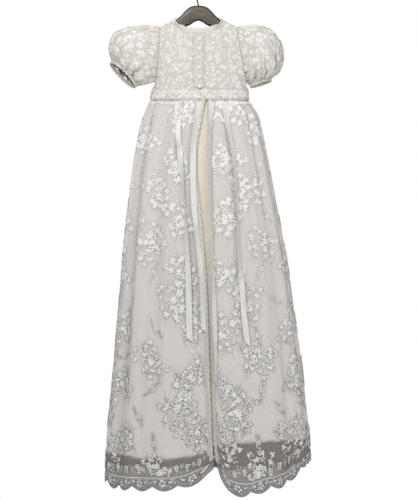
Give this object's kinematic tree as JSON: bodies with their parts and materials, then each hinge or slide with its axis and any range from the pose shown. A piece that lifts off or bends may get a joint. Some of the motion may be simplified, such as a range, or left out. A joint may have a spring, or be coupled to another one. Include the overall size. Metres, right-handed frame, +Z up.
{
  "type": "christening gown on a hanger",
  "caption": "Long ivory lace christening gown with puff sleeves, buttoned bodice, open overskirt and ribbon tails, hung on a small wooden hanger.",
  "frame": {"origin": "where a rail bears on the inside of the hanger's hook", "axes": "+Z up along the hanging gown, -Y towards the buttoned side, +X to the right of someone looking at that side"},
  "size_m": [0.4532, 0.1839, 1.143],
  "materials": {
    "embroidered_net": "ivory net with floral embroidery, matt with a soft sheen on the thread",
    "lace_trim": "ivory scalloped guipure lace",
    "hem_lace": "sheer net with an embroidered scalloped border",
    "satin_lining": "ivory satin",
    "satin_ribbon": "white satin",
    "pearl_button": "pearl",
    "hanger_wood": "brown stain under satin varnish",
    "hook_wire": "dark steel wire"
  },
  "bodies": {
    "root": {"bodice_back": "embroidered_net", "bodice_front_left": "embroidered_net", "bodice_front_right": "embroidered_net", "button_1": "pearl_button", "button_2": "pearl_button", "button_3": "pearl_button", "button_4": "pearl_button", "button_5": "pearl_button", "button_6": "pearl_button", "collar_lace": "lace_trim", "cuff_lace_left": "lace_trim", "cuff_lace_right": "lace_trim", "hanger_bar": "hanger_wood", "hanger_hook": "hook_wire", "hem_lace_back": "hem_lace", "hem_lace_front_left": "hem_lace", "hem_lace_front_right": "hem_lace", "lining_back": "satin_lining", "lining_front": "satin_lining", "opening_trim_left": "lace_trim", "opening_trim_right": "lace_trim", "overskirt_back": "embroidered_net", "overskirt_front_left": "embroidered_net", "overskirt_front_right": "embroidered_net", "placket": "lace_trim", "ribbon_inner_left": "satin_ribbon", "ribbon_inner_right": "satin_ribbon", "ribbon_outer_left": "satin_ribbon", "ribbon_outer_right": "satin_ribbon", "sleeve_left": "embroidered_net", "sleeve_right": "embroidered_net", "waist_band_back": "lace_trim", "waist_band_front": "lace_trim"}
  },
  "joints": []
}
